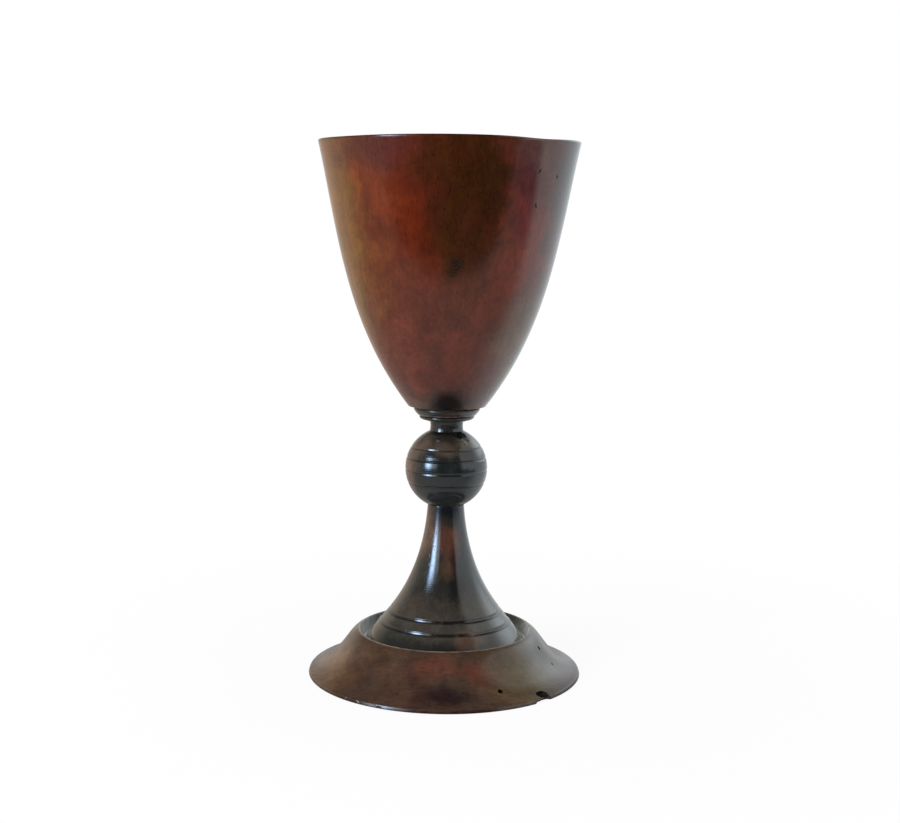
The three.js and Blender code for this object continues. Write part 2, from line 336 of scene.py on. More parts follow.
def ease(profile):
    """Rounds each sharp corner of a profile a little, as sanding does."""
    eased = [profile[0]]
    for before, corner, after in zip(profile, profile[1:], profile[2:]):
        back, ahead = before - corner, after - corner
        back_length, ahead_length = np.linalg.norm(back), np.linalg.norm(ahead)
        turn_cosine = -np.dot(back, ahead) / (back_length * ahead_length)
        if turn_cosine > math.cos(math.radians(EASE_ANGLE)):
            eased.append(corner)
            continue
        start = corner + back / back_length * min(EASED_ARRIS, back_length * EASE_LIMIT_SHARE)
        end = corner + ahead / ahead_length * min(EASED_ARRIS, ahead_length * EASE_LIMIT_SHARE)
        for share in np.linspace(0, 1, EASE_POINTS):
            eased.append((1 - share) ** 2 * start + 2 * share * (1 - share) * corner + share ** 2 * end)
    eased.append(profile[-1])
    return np.array(eased)


def divide(profile):
    """Adds points to the long straight runs of a profile."""
    points = [profile[0]]
    for start, end in zip(profile, profile[1:]):
        parts = max(1, int(np.linalg.norm(end - start) / PROFILE_STEP))
        points += [start + (end - start) * i / parts for i in range(1, parts + 1)]
    return np.array(points)


def joined(*runs):
    """One profile from runs of points, without repeated points."""
    points = np.concatenate([np.atleast_2d(np.array(run, float)) for run in runs])
    keep = np.concatenate(([True], np.linalg.norm(np.diff(points, axis=0), axis=1) > SAME_POINT))
    return points[keep]


def worn(point):
    """Where a point of the perfect turning has moved to with age."""
    swell = noise.noise(point / UNEVEN_SIZE) * UNEVEN_DEPTH
    radius = math.hypot(point.x, point.y)
    share = swell * min(1, radius / UNEVEN_FULL_RADIUS) / max(radius, LEAST_RADIUS)
    return Vector((
        point.x * (1 + OVAL_SHARE + share) / (1 + OVAL_SHARE),
        point.y * (1 - OVAL_SHARE + share) / (1 + OVAL_SHARE),
        point.z,
    ))


def ring_faces(rings, turns):
    """Faces between neighbouring rings of points. A ring on the axis is a single point."""
    faces = []
    for low, high in zip(rings, rings[1:]):
        for i in range(turns):
            j = (i + 1) % turns
            corners = [low[i % len(low)], low[j % len(low)], high[j % len(high)], high[i % len(high)]]
            faces.append(list(dict.fromkeys(corners)))
    return faces


def turn(name, profile, turns, material, closed=False):
    """A solid of revolution from a profile listed up the outside, slightly oval and uneven."""
    profile = divide(ease(profile))
    if closed:
        profile = profile[:-1]
    angles = np.linspace(0, 2 * math.pi, turns, endpoint=False)
    points, rings = [], []
    for radius, height in profile:
        ring_angles = angles if radius > SAME_POINT else angles[:1]
        rings.append(range(len(points), len(points) + len(ring_angles)))
        points += [(radius * math.sin(a), -radius * math.cos(a), height) for a in ring_angles]
    if closed:
        rings.append(rings[0])
    mesh = bpy.data.meshes.new(name)
    mesh.from_pydata([worn(Vector(p)) for p in points], [], ring_faces(rings, turns))
    mesh.validate()
    mesh.materials.append(material)
    return put_in_scene(name, mesh)


def warp_lip(bowl):
    """Moves the lip up and down by what age and use have done to it."""
    for vertex in bowl.data.vertices:
        azimuth = math.degrees(math.atan2(vertex.co.x, -vertex.co.y))
        rise = LIP_RISE * math.sin(math.radians(azimuth)) ** LIP_RISE_POWER
        worn_off = LIP_WEAR * math.exp(-((azimuth - LIP_WEAR_AZIMUTH) / LIP_WEAR_SPREAD) ** 2)
        share = max(0, 1 - (RIM_HEIGHT - vertex.co.z) / LIP_WARP_REACH)
        vertex.co.z += (rise - worn_off) * share ** 2


def foot_flare():
    """The foot's ogee from its thin edge up to the crest."""
    crest_centre = (CREST_RADIUS, CREST_HEIGHT - FOOT_CREST_ROUND)
    crest = arc(crest_centre, FOOT_CREST_ROUND, 90 - FOOT_CREST_SLOPE, 180)
    lean = math.radians(FOOT_EDGE_LEAN)
    round_centre = (
        FOOT_RADIUS - FOOT_EDGE_BAND * math.tan(lean) - FOOT_EDGE_ROUND * math.cos(lean),
        FOOT_EDGE_CHAMFER + FOOT_EDGE_BAND - FOOT_EDGE_ROUND * math.sin(lean),
    )
    edge = arc(round_centre, FOOT_EDGE_ROUND, FOOT_EDGE_LEAN, 90 - FOOT_EDGE_SLOPE)
    width = FOOT_RADIUS - CREST_RADIUS
    flare = sweep(
        edge[-1], 180 - FOOT_EDGE_SLOPE, FOOT_EDGE_PULL_SHARE * width,
        crest[0], 180 - FOOT_CREST_SLOPE, FOOT_CREST_PULL_SHARE * width,
    )
    return joined(edge, flare, crest)


def foot_hollow():
    """The shallow hollow under the foot with two turned lines."""
    width = FOOT_RADIUS - FOOT_EDGE_CHAMFER - FOOT_STANDING_RING
    sphere_radius = (width ** 2 + FOOT_HOLLOW_DEPTH ** 2) / (2 * FOOT_HOLLOW_DEPTH)
    radii = np.linspace(0, width, FOOT_HOLLOW_POINTS)
    drop = sphere_radius - np.sqrt(sphere_radius ** 2 - radii ** 2)
    hollow = np.stack((radii, FOOT_HOLLOW_DEPTH - drop), 1)
    lines = [width * share for share in HOLLOW_LINE_SHARES]
    return incise(hollow, lines, HOLLOW_LINE_WIDTH, HOLLOW_LINE_DEPTH)


def foot_profile():
    """Hollowed underside, standing ring, flare, recess and socket."""
    socket_radius = FOOT_TENON_RADIUS + JOINT_CLEARANCE
    socket_floor = STEM_TENON_BOTTOM - JOINT_CLEARANCE
    return joined(
        foot_hollow(),
        (FOOT_RADIUS - FOOT_EDGE_CHAMFER, 0),
        (FOOT_RADIUS, FOOT_EDGE_CHAMFER),
        foot_flare(),
        (RECESS_RADIUS, RECESS_FLOOR),
        (socket_radius, RECESS_FLOOR),
        (socket_radius, socket_floor),
        (0, socket_floor),
    )


def stem_trumpet():
    """The stem's flared outside with its incised lines."""
    curve = sweep(
        (STEM_BOTTOM_RADIUS, RECESS_FLOOR), 180 - STEM_BOTTOM_SLOPE, STEM_BOTTOM_PULL_SHARE * STEM_HEIGHT,
        (STEM_TOP_RADIUS, STEM_TOP), 180 - STEM_TOP_SLOPE, STEM_TOP_PULL_SHARE * STEM_HEIGHT,
        FINE_STEP,
    )
    centres = [length_at(curve, RECESS_FLOOR + height) for height in STEM_GROOVE_HEIGHTS]
    return incise(curve, centres, STEM_GROOVE_WIDTH, STEM_GROOVE_DEPTH)


def stem_profile():
    """Tenon for the foot, broad seat, trumpet, shoulder and the long tenon through the knop."""
    return joined(
        (0, STEM_TENON_BOTTOM),
        (FOOT_TENON_RADIUS, STEM_TENON_BOTTOM),
        (FOOT_TENON_RADIUS, RECESS_FLOOR),
        stem_trumpet(),
        (KNOP_TENON_RADIUS, STEM_TOP),
        (KNOP_TENON_RADIUS, STEM_TENON_TOP),
        (0, STEM_TENON_TOP),
    )


def knop_ball():
    """The ball's outside with its turned lines."""
    lowest = -math.degrees(math.acos(STEM_TOP_RADIUS / KNOP_RADIUS))
    highest = math.degrees(math.acos(NECK_RADIUS / KNOP_RADIUS))
    ball = arc((0, KNOP_CENTRE), KNOP_RADIUS, lowest, highest, BALL_STEPS)
    centres = [math.radians(latitude - lowest) * KNOP_RADIUS for latitude in KNOP_GROOVE_LATITUDES]
    return incise(ball, centres, KNOP_GROOVE_WIDTH, KNOP_GROOVE_DEPTH)


def knop_profile():
    """Grooved ball, bored right through."""
    return joined(
        (KNOP_BORE_RADIUS, STEM_TOP),
        knop_ball(),
        (KNOP_BORE_RADIUS, KNOP_TOP),
        (KNOP_BORE_RADIUS, STEM_TOP),
    )


def collar_ring(bottom, top, radius, bevel):
    """One ring, from its tucked-in underside to its upper edge."""
    pull = RING_BEVEL_PULL_SHARE * bevel
    underside = sweep(
        (radius - bevel, bottom), RING_BEVEL_START, pull,
        (radius, top - RING_EDGE), RING_BEVEL_END, pull,
        FINE_STEP,
    )
    centre = (radius - RING_QUIRK, top - RING_EDGE)
    bead = np.array(centre) + arc((0, 0), 1.0, 0, 90) * (RING_QUIRK, RING_EDGE)
    return joined(underside, bead)


def hollow_neck(neck_top):
    """The neck's outside, slightly waisted between the knop and the lower ring."""
    share = np.linspace(0, 1, NECK_POINTS)
    waist = 4 * share * (1 - share) * NECK_HOLLOW
    return np.stack((NECK_RADIUS - waist, KNOP_TOP + share * (neck_top - KNOP_TOP)), 1)


def collar_profile():
    """Socket for the stem's tenon, neck, two rings and tenon for the bowl."""
    socket_top = STEM_TENON_TOP + JOINT_CLEARANCE
    neck_top = KNOP_TOP + NECK_HEIGHT
    lower_ring_top = neck_top + LOWER_RING_HEIGHT
    return joined(
        (0, socket_top),
        (KNOP_BORE_RADIUS, socket_top),
        (KNOP_BORE_RADIUS, KNOP_TOP),
        hollow_neck(neck_top),
        collar_ring(neck_top, lower_ring_top, LOWER_RING_RADIUS, LOWER_RING_BEVEL),
        collar_ring(lower_ring_top, COLLAR_TOP, UPPER_RING_RADIUS, UPPER_RING_BEVEL),
        (BOWL_TENON_RADIUS, COLLAR_TOP),
        (BOWL_TENON_RADIUS, COLLAR_TENON_TOP),
        (0, COLLAR_TENON_TOP),
    )


def bowl_outside():
    """The bowl's outer sweep from its heel to its lip."""
    return sweep(
        (BOWL_SEAT_RADIUS + BOWL_HEEL_WIDTH, COLLAR_TOP + BOWL_HEEL_RISE),
        BOWL_HEEL_SLOPE, BOWL_HEEL_PULL_SHARE * BOWL_HEIGHT,
        (RIM_RADIUS, RIM_HEIGHT - BOWL_LIP_ROUND), BOWL_RIM_SLOPE, BOWL_RIM_PULL_SHARE * BOWL_HEIGHT,
    )


def bowl_inside(outside, lip_height, floor_height):
    """The hollow from the lip down: the outside less the wall, closed by a rounded floor."""
    descent = np.sin(np.linspace(0, math.pi / 2, BOWL_HOLLOW_POINTS))[1:]
    depth = lip_height - floor_height
    heights = lip_height - descent * depth
    outer = np.interp(heights, outside[:, 1], outside[:, 0])
    wall = BOWL_LIP_WALL + (BOWL_BELLY_WALL - BOWL_LIP_WALL) * (lip_height - heights) / depth
    sunk = np.clip(1 - (heights - floor_height) / BOWL_FLOOR_ROUND, 0, 1)
    return np.stack(((outer - wall) * np.sqrt(1 - sunk ** 2), heights), 1)


def bowl_profile():
    """Socket, seat, heel, outer sweep, softened lip and hollow."""
    socket_radius = BOWL_TENON_RADIUS + JOINT_CLEARANCE
    socket_top = COLLAR_TENON_TOP + JOINT_CLEARANCE
    lip_height = RIM_HEIGHT - BOWL_LIP_ROUND
    outside = bowl_outside()
    return joined(
        (0, socket_top),
        (socket_radius, socket_top),
        (socket_radius, COLLAR_TOP),
        (BOWL_SEAT_RADIUS, COLLAR_TOP),
        outside,
        arc((RIM_RADIUS - BOWL_LIP_ROUND, lip_height), BOWL_LIP_ROUND, 0, 90),
        arc((RIM_RADIUS - BOWL_LIP_WALL + BOWL_LIP_ROUND, lip_height), BOWL_LIP_ROUND, 90, 180),
        bowl_inside(outside, lip_height, socket_top + BOWL_FLOOR_WALL),
    )


def place_camera():
    """Camera at the photograph's viewpoint."""
    data = bpy.data.cameras.new("photo_view")
    data.lens = CAMERA_LENS
    data.sensor_fit = "HORIZONTAL"
    data.sensor_width = SENSOR_WIDTH
    data.clip_start = CAMERA_CLIP
    camera = put_in_scene("photo_view", data)
    level = Matrix.Rotation(math.radians(90), 4, "X")
    tilt = Matrix.Rotation(math.radians(CAMERA_PITCH), 4, "X")
    yaw = Matrix.Rotation(math.radians(CAMERA_YAW), 4, "Z")
    roll = Matrix.Rotation(math.radians(CAMERA_ROLL), 4, "Z")
    camera.matrix_world = Matrix.Translation(CAMERA_PLACE) @ yaw @ tilt @ level @ roll
    bpy.context.scene.camera = camera


class Nodes:
    """Short-hand for building one node tree."""

    # Sockets of a mix node that mixes colours.
    MIX_SHARE, MIX_FIRST, MIX_SECOND, MIX_RESULT = 0, 6, 7, 2

    def __init__(self, tree):
        self.tree = tree
        tree.nodes.clear()

    def add(self, kind, inputs=None, **settings):
        node = self.tree.nodes.new(kind)
        for key, value in settings.items():
            setattr(node, key, value)
        for key, value in (inputs or {}).items():
            if isinstance(value, bpy.types.NodeSocket):
                self.tree.links.new(value, node.inputs[key])
            else:
                node.inputs[key].default_value = value
        return node

    def maths(self, operation, first, second=0.0):
        return self.add("ShaderNodeMath", {0: first, 1: second}, operation=operation).outputs[0]

    def vector(self, operation, first, second):
        inputs = {0: first, 1: second}
        return self.add("ShaderNodeVectorMath", inputs, operation=operation).outputs["Vector"]

    def scaled(self, vector, factor):
        return self.vector("MULTIPLY", vector, (factor, factor, factor))

    def length(self, vector):
        return self.add("ShaderNodeVectorMath", {0: vector}, operation="LENGTH").outputs["Value"]

    def parts(self, vector):
        return self.add("ShaderNodeSeparateXYZ", {0: vector}).outputs

    def noise(self, coords, scale, detail, roughness, output="Fac"):
        inputs = {"Vector": coords, "Scale": scale, "Detail": detail, "Roughness": roughness}
        return self.add("ShaderNodeTexNoise", inputs).outputs[output]

    def step(self, value, low, high, from_value=0.0, to_value=1.0):
        """A smooth change from one value to another while the input goes from low to high."""
        inputs = {"Value": value, "From Min": low, "From Max": high}
        inputs.update({"To Min": from_value, "To Max": to_value})
        return self.add("ShaderNodeMapRange", inputs, interpolation_type="SMOOTHSTEP").outputs["Result"]

    def mix(self, share, first, second, blend="MIX"):
        inputs = {self.MIX_SHARE: share, self.MIX_FIRST: first, self.MIX_SECOND: second}
        node = self.add("ShaderNodeMix", inputs, data_type="RGBA", blend_type=blend)
        return node.outputs[self.MIX_RESULT]

    def ramp(self, share, positions, colours):
        node = self.add("ShaderNodeValToRGB", {"Fac": share})
        elements = node.color_ramp.elements
        while len(elements) < len(positions):
            elements.new(positions[1])
        for element, position, colour in zip(elements, positions, colours):
            element.position = position
            element.color = colour
        return node.outputs["Color"]


def ray_kinds(nodes):
    """Whether a ray comes straight from the camera, and whether it comes off gloss or through glass."""
    path = nodes.add("ShaderNodeLightPath").outputs
    mirrored = nodes.maths("MAXIMUM", path["Is Glossy Ray"], path["Is Transmission Ray"])
    return path["Is Camera Ray"], mirrored


def room_tones(nodes):
    """What gloss mirrors in each direction: walls, ceiling and the dark room behind the viewer."""
    towards = nodes.parts(nodes.add("ShaderNodeTexCoord").outputs["Generated"])
    left_wall = nodes.mix(nodes.step(towards["Y"], *LEFT_TO_BACK), LEFT_WALL, BACK_LEFT_WALL)
    walls = nodes.mix(nodes.step(towards["X"], *LEFT_TO_RIGHT), left_wall, RIGHT_WALL)
    ceiling = nodes.mix(nodes.step(towards["X"], *CEILING_TO_RIGHT), DIM_CEILING, RIGHT_CEILING)
    walls = nodes.mix(nodes.step(towards["Z"], *WALL_TO_CEILING), walls, ceiling)
    to_right = nodes.step(nodes.maths("ADD", towards["Y"], towards["X"]), *DARK_TO_FRONT_RIGHT)
    front_right = nodes.maths("MULTIPLY", to_right, nodes.step(towards["Z"], *LOW_TO_FRONT_RIGHT))
    lit = nodes.maths("MAXIMUM", nodes.step(towards["Y"], *DARK_TO_SIDES), front_right)
    return nodes.mix(lit, DARK_ROOM, walls)


def light_world():
    """White for the camera, a room for gloss and plain ambient light for the rest."""
    world = bpy.data.worlds.new("studio")
    bpy.context.scene.world = world
    world.use_nodes = True
    world.cycles.sampling_method = "NONE"
    nodes = Nodes(world.node_tree)
    direct, mirrored = ray_kinds(nodes)
    colour = nodes.mix(mirrored, AMBIENT, room_tones(nodes))
    colour = nodes.mix(direct, colour, WHITE)
    background = nodes.add("ShaderNodeBackground", {"Color": colour, "Strength": 1.0})
    nodes.add("ShaderNodeOutputWorld", {"Surface": background.outputs["Background"]})


def fade_edges(data, fade):
    """Makes a lamp dimmer towards all its edges, like a cloth diffuser."""
    data.use_nodes = True
    nodes = Nodes(data.node_tree)
    across = nodes.parts(nodes.add("ShaderNodeNewGeometry").outputs["Parametric"])
    shares = []
    for axis in ("X", "Y"):
        off_centre = nodes.maths("ABSOLUTE", nodes.maths("SUBTRACT", across[axis], LAMP_HALF))
        shares.append(nodes.step(off_centre, LAMP_HALF - fade / 2, LAMP_HALF, 1.0, 0.0))
    glow = nodes.add("ShaderNodeEmission", {"Strength": nodes.maths("MULTIPLY", *shares)})
    nodes.add("ShaderNodeOutputLight", {"Surface": glow.outputs["Emission"]})


def hang_lamp(lamp):
    """A rectangular soft light, turned to the goblet."""
    data = bpy.data.lights.new(lamp.name, "AREA")
    data.shape = "RECTANGLE"
    data.size, data.size_y = lamp.size
    data.energy = lamp.radiance * WATTS_PER_RADIANCE * lamp.size[0] * lamp.size[1]
    data.color = lamp.colour
    if lamp.fade:
        fade_edges(data, lamp.fade)
    hung = put_in_scene(lamp.name, data)
    hung.location = lamp.place
    hung.rotation_euler = (Vector(GOBLET_MIDDLE) - Vector(lamp.place)).to_track_quat("-Z", "Y").to_euler()
    hung.visible_diffuse = lamp.diffuse
    hung.visible_glossy = lamp.gloss


def start_material(name):
    """A new material, its node tree and the coordinates on the object."""
    material = bpy.data.materials.new(name)
    material.use_nodes = True
    nodes = Nodes(material.node_tree)
    return material, nodes, nodes.add("ShaderNodeTexCoord").outputs["Object"]


def finish_surface(nodes, height, strength, depth, inputs):
    """Ends a material with a shader whose surface is raised by a height."""
    bump = nodes.add("ShaderNodeBump", {"Strength": strength, "Distance": depth, "Height": height})
    shader = nodes.add("ShaderNodeBsdfPrincipled", {**inputs, "Normal": bump.outputs["Normal"]})
    nodes.add("ShaderNodeOutputMaterial", {"Surface": shader.outputs["BSDF"]})


def table_tones(nodes, place):
    """What gloss mirrors of the table at each place."""
    across = nodes.parts(place)
    to_far_right = nodes.maths("ADD", across["X"], across["Y"])
    tone = nodes.mix(nodes.step(to_far_right, *TABLE_LEFT_TO_NEAR), LEFT_WALL, NEAR_TABLE)
    tone = nodes.mix(nodes.step(across["Y"], *TABLE_TO_BACK), tone, BACK_LEFT_WALL)
    tone = nodes.mix(nodes.step(across["X"], *TABLE_TO_SHADE), tone, SHADED_TABLE)
    right = nodes.step(across["X"], *TABLE_TO_RIGHT)
    behind = nodes.step(across["Y"], *TABLE_TO_BEHIND)
    return nodes.mix(nodes.maths("MULTIPLY", right, behind), tone, RIGHT_WALL)


def floor_paint():
    """White paint that keeps the goblet's shadow and glows more further out."""
    material, nodes, place = start_material("white_floor")
    direct, mirrored = ray_kinds(nodes)
    seen = nodes.maths("MAXIMUM", direct, mirrored)
    glowing = nodes.step(nodes.length(place), FLOOR_NEAR, FLOOR_FAR, FLOOR_GLOW_NEAR, 1.0)
    tone = nodes.mix(mirrored, WHITE, table_tones(nodes, place))
    paint = nodes.add("ShaderNodeBsdfDiffuse", {"Color": FLOOR_PAINT}).outputs["BSDF"]
    glow = nodes.add("ShaderNodeEmission", {"Color": tone, "Strength": 1.0}).outputs["Emission"]
    share = nodes.maths("MULTIPLY", seen, glowing)
    both = nodes.add("ShaderNodeMixShader", {0: share, 1: paint, 2: glow})
    nodes.add("ShaderNodeOutputMaterial", {"Surface": both.outputs["Shader"]})
    return material


def lay_floor():
    """A white table top that ends in front of the goblet, where the dark room begins."""
    mesh = bpy.data.meshes.new("floor")
    mesh.from_pydata([(x, y, 0) for x, y in TABLE_OUTLINE], [], [range(len(TABLE_OUTLINE))])
    mesh.materials.append(floor_paint())
    put_in_scene("floor", mesh)


def linear(red, green, blue):
    """Scene-linear colour from sRGB display values of 0 to 255."""
    shares = [channel / 255 for channel in (red, green, blue)]
    return tuple(s / 12.92 if s <= 0.04045 else ((s + 0.055) / 1.055) ** 2.4 for s in shares) + (1.0,)


# Noise of each layer of a wood: scale, detail and roughness.
DRIFT_NOISE = (60, 5, 0.6)
MOTTLE_NOISE = (62, 6, 0.6)
TINT_NOISE = (45, 4, 0.6)
SHADE_NOISE = (170, 4, 0.6)
STREAK_NOISE = (1.0, 4, 0.6)
FIBRE_NOISE = (1.0, 5, 0.65)
PORE_NOISE = (1.0, 2, 0.5)
RUBBED_NOISE = (260, 3, 0.55)
SMUDGE_NOISE = (95, 5, 0.6)
NOISE_MIDDLE = (0.5, 0.5, 0.5)
DRIFT = 0.03

# Colour: stops of noise, and gains by which each layer darkens and lightens.
TONE_STOPS = (0.32, 0.5, 0.68)
GAIN_STOPS = (0.35, 0.65)
FIBRE_STOPS = (0.3, 0.65)
TINT_GAINS = ((1.1, 0.97, 0.9, 1.0), (0.93, 1.02, 1.03, 1.0))
SHADE_GAINS = ((0.82, 0.81, 0.81, 1.0), (1.15, 1.14, 1.14, 1.0))
STREAK_GAINS = ((0.88, 0.86, 0.85, 1.0), (1.08, 1.08, 1.08, 1.0))
FIBRE_GAINS = ((0.82, 0.8, 0.79, 1.0), (1.08, 1.08, 1.08, 1.0))

# Grain that runs up a turning or level across it, with coarser streaks and finer pores.
UPRIGHT_GRAIN = (900, 900, 90)
LEVEL_GRAIN = (90, 900, 900)
STREAK_SCALE = 0.22
PORE_SCALE = 2.5
PORE_RANGE = (0.62, 0.7)
PORE_STRENGTH = 0.5
PORE_TONE = linear(120, 106, 96)

# Dirt in hollows, found by how pointed the surface is. Its dark colour also serves as painted shade in
# turned lines and seams.
DIRT_AND_SHADE = linear(18, 14, 13)
DIRT_RANGE = (0.38, 0.48)
DIRT_STRENGTH = 0.5
DIRT_ROUGHNESS = 0.25

# Stains and painted light and shade: patches about a point and rings about the axis, with soft edges.
PATCH_CORE = 0.25
PATCH_EDGE = 1.2
PATCH_RAGGED = 2.0
RING_CORE = 0.3
RUBBED_RANGE = (0.3, 0.55)
RUBBED_LEFT = 0.35
LIP_STAIN_INSET = 0.4 * MM
STEM_SHADE_DROP = 0.2 * MM
SEAM_HIGHLIGHT_RISE = 0.4 * MM
SEAM_HIGHLIGHT_SHARE = 0.7
TOE_DROP = 2 * MM

# Polish and relief.
SMUDGE_RANGE = (0.3, 0.7)
FIBRE_RELIEF = 0.6
PORE_RELIEF = -0.4
MARK_RELIEF = 0.16
RELIEF_STRENGTH = 0.25
RELIEF_DEPTH = 0.12 * MM
TURNING_MARKS = {"Scale": 420.0, "Distortion": 1.5, "Detail": 2.0, "Detail Scale": 0.6}

# Bare wood in breaks and holes, and the wall of the foot's recess, pale dust painted lighter against its
# shade.
BARE_DETAIL = (5, 0.7)
BARE_GRAIN = (1.0, 1.0, 0.2)
BARE_ROUGHNESS = 0.85
BARE_STRENGTH = 0.8
BARE_DEPTH = 0.2 * MM
RECESS_SCALE = 1300.0
RECESS_GRAIN = (1.0, 1.0, 0.12)
RECESS_ROUGHNESS = 0.6
RECESS_STRENGTH = 0.6
RECESS_RELIEF = 0.15 * MM
RECESS_BACK_RANGE = (4 * MM, 20 * MM)
CREST_POLISH_SHARE = 0.6

Gloss = namedtuple("Gloss", "smoothest roughest ior")
Patch = namedtuple("Patch", "azimuth radius height size colour strength ragged")
Ring = namedtuple("Ring", "radius height reach colour strength")
Scar = namedtuple("Scar", "azimuth radius height across along deep lean")
Layers = namedtuple("Layers", "coords drift wander streaks fibres pores dirt")


def colour_patch(azimuth, radius, height, size, colour, strength, ragged=PATCH_RAGGED):
    """A patch from millimetres and a display colour."""
    size = tuple(side * MM for side in size)
    return Patch(azimuth, radius * MM, height * MM, size, linear(*colour), strength, ragged)


def chip(azimuth, radius, height, across, along, deep, lean=0):
    """A scar from millimetres."""
    return Scar(azimuth, radius * MM, height * MM, across * MM, along * MM, deep * MM, lean)


def worm_hole(outline, azimuth, height, width, length, depth, lean=0):
    """A small round or slit-like hole on an outline, from millimetres."""
    radius = profile_radius(outline, height * MM)
    return Scar(azimuth, radius, height * MM, width * MM / 2, length * MM / 2, depth * MM, lean)


def patch_mask(nodes, layers, patch):
    """Strength of a patch about a point of the surface, a stain or painted light or shade, with ragged
    soft edges.
    """
    offset = nodes.vector("SUBTRACT", layers.coords, polar(patch.azimuth, patch.radius, patch.height))
    ragged = nodes.scaled(layers.drift, patch.ragged)
    offset = nodes.vector("ADD", nodes.vector("DIVIDE", offset, patch.size), ragged)
    return nodes.step(nodes.length(offset), PATCH_CORE, PATCH_EDGE, patch.strength, 0.0)


def ring_mask(nodes, layers, rubbed, ring):
    """Strength of a ring of stain, painted highlight or painted shade along a circle about the axis,
    broken up by the rubbed-off noise.
    """
    radius = nodes.length(nodes.vector("MULTIPLY", layers.coords, (1, 1, 0)))
    offset = nodes.add("ShaderNodeCombineXYZ", {
        "X": nodes.maths("SUBTRACT", radius, ring.radius),
        "Y": nodes.maths("SUBTRACT", nodes.parts(layers.coords)["Z"], ring.height),
    }).outputs["Vector"]
    near = nodes.step(nodes.length(offset), ring.reach * RING_CORE, ring.reach, ring.strength, 0.0)
    return nodes.maths("MULTIPLY", near, nodes.step(rubbed, *RUBBED_RANGE, RUBBED_LEFT, 1.0))


def wood_layers(nodes, coords, grain):
    """What colour, polish and relief of a wood have in common."""
    drift = nodes.vector("SUBTRACT", nodes.noise(coords, *DRIFT_NOISE, "Color"), NOISE_MIDDLE)
    wander = nodes.vector("ADD", coords, nodes.scaled(drift, DRIFT))
    fibre_coords = nodes.vector("MULTIPLY", coords, grain)
    streaks = nodes.noise(nodes.scaled(fibre_coords, STREAK_SCALE), *STREAK_NOISE)
    fibres = nodes.noise(fibre_coords, *FIBRE_NOISE)
    speckle = nodes.noise(nodes.scaled(fibre_coords, PORE_SCALE), *PORE_NOISE)
    pores = nodes.step(speckle, *PORE_RANGE)
    pointiness = nodes.add("ShaderNodeNewGeometry").outputs["Pointiness"]
    dirt = nodes.step(pointiness, *DIRT_RANGE, DIRT_STRENGTH, 0.0)
    return Layers(coords, drift, wander, streaks, fibres, pores, dirt)


def mottled_and_patched(nodes, layers, tones, patches):
    """Mottled stain with patches of other colours, some of them painted light, shade and reflection."""
    mottle = nodes.noise(layers.wander, *MOTTLE_NOISE)
    colour = nodes.ramp(mottle, TONE_STOPS, [linear(*tone) for tone in tones])
    for patch in patches:
        colour = nodes.mix(patch_mask(nodes, layers, patch), colour, patch.colour)
    return colour


def grained(nodes, layers, colour):
    """A colour with the wood's tints, shades, streaks, fibres and pores."""
    tint = nodes.noise(layers.wander, *TINT_NOISE)
    shade = nodes.noise(layers.wander, *SHADE_NOISE)
    for share, stops, gains in (
        (tint, GAIN_STOPS, TINT_GAINS),
        (shade, GAIN_STOPS, SHADE_GAINS),
        (layers.streaks, GAIN_STOPS, STREAK_GAINS),
        (layers.fibres, FIBRE_STOPS, FIBRE_GAINS),
    ):
        colour = nodes.mix(1.0, colour, nodes.ramp(share, stops, gains), "MULTIPLY")
    return nodes.mix(nodes.maths("MULTIPLY", layers.pores, PORE_STRENGTH), colour, PORE_TONE, "MULTIPLY")


def ringed_and_soiled(nodes, layers, colour, rings):
    """A colour with rings about the axis, some of them painted highlights and shade, and dirt in hollows.
    """
    rubbed = nodes.noise(layers.coords, *RUBBED_NOISE)
    for ring in rings:
        colour = nodes.mix(ring_mask(nodes, layers, rubbed, ring), colour, ring.colour)
    return nodes.mix(layers.dirt, colour, DIRT_AND_SHADE)


def wood_roughness(nodes, layers, gloss):
    """Polish with smudges, dull where there is dirt."""
    smudge = nodes.noise(layers.wander, *SMUDGE_NOISE)
    roughness = nodes.step(smudge, *SMUDGE_RANGE, gloss.smoothest, gloss.roughest)
    return nodes.maths("ADD", roughness, nodes.maths("MULTIPLY", layers.dirt, DIRT_ROUGHNESS))


def wood_relief(nodes, layers, marks):
    """Raised fibres, sunk pores and fine tool lines, which are level bands or rings."""
    inputs = {"Vector": layers.coords, **TURNING_MARKS}
    settings = {"wave_type": marks, "bands_direction": "Z", "rings_direction": "Z"}
    lines = nodes.add("ShaderNodeTexWave", inputs, **settings).outputs["Fac"]
    fibres = nodes.maths("MULTIPLY", layers.fibres, FIBRE_RELIEF)
    relief = nodes.maths("ADD", fibres, nodes.maths("MULTIPLY", layers.pores, PORE_RELIEF))
    return nodes.maths("ADD", relief, nodes.maths("MULTIPLY", lines, MARK_RELIEF))


def wood(name, tones, patches, rings, grain, gloss, marks):
    """Polished old wood: mottled stain, patches, grain, rings and dirt in hollows."""
    material, nodes, coords = start_material(name)
    layers = wood_layers(nodes, coords, grain)
    colour = grained(nodes, layers, mottled_and_patched(nodes, layers, tones, patches))
    inputs = {
        "Base Color": ringed_and_soiled(nodes, layers, colour, rings),
        "Roughness": wood_roughness(nodes, layers, gloss),
        "IOR": gloss.ior,
    }
    finish_surface(nodes, wood_relief(nodes, layers, marks), RELIEF_STRENGTH, RELIEF_DEPTH, inputs)
    return material


